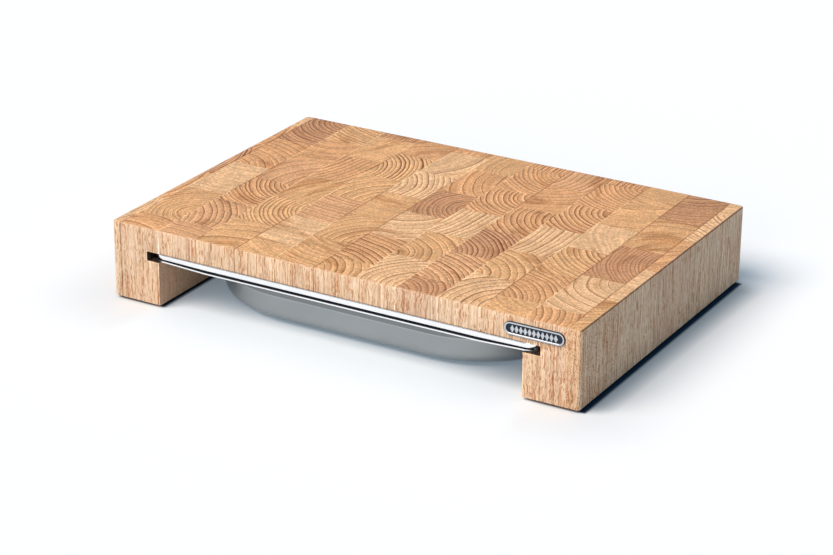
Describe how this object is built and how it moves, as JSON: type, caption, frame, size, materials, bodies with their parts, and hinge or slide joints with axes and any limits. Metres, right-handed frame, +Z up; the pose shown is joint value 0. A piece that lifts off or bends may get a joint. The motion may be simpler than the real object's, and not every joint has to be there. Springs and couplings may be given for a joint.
{
  "type": "end-grain cutting board with tray",
  "caption": "End-grain hardwood cutting board on two legs, with a pressed stainless tray that slides in milled slots under the cutting surface.",
  "frame": {"origin": "on the worktop, under the middle of the board", "axes": "+X left to right along the front, +Y front to back, +Z up; the tray comes out at the front along -Y"},
  "size_m": [0.39, 0.2712, 0.062],
  "materials": {
    "end_grain_wood": "oiled, satin",
    "tray_steel": "satin with a polished rim",
    "badge_metal": "satin field, polished border",
    "foot_rubber": "matte"
  },
  "bodies": {
    "board": {"end_grain_strip_01": "end_grain_wood", "end_grain_strip_02": "end_grain_wood", "end_grain_strip_03": "end_grain_wood", "end_grain_strip_04": "end_grain_wood", "end_grain_strip_05": "end_grain_wood", "end_grain_strip_06": "end_grain_wood", "end_grain_strip_07": "end_grain_wood", "end_grain_strip_08": "end_grain_wood", "end_grain_strip_09": "end_grain_wood", "end_grain_strip_10": "end_grain_wood", "end_grain_strip_11": "end_grain_wood", "end_grain_strip_12": "end_grain_wood", "end_grain_strip_13": "end_grain_wood", "badge_plate": "badge_metal", "rubber_foot_front_left": "foot_rubber", "rubber_foot_front_right": "foot_rubber", "rubber_foot_back_left": "foot_rubber", "rubber_foot_back_right": "foot_rubber"},
    "tray": {"drip_tray": "tray_steel"}
  },
  "joints": [
    {"name": "tray_slide", "type": "slide", "parent": "board", "child": "tray", "axis": [0, -1, 0], "range_m": [-0.265, 0.265]}
  ]
}
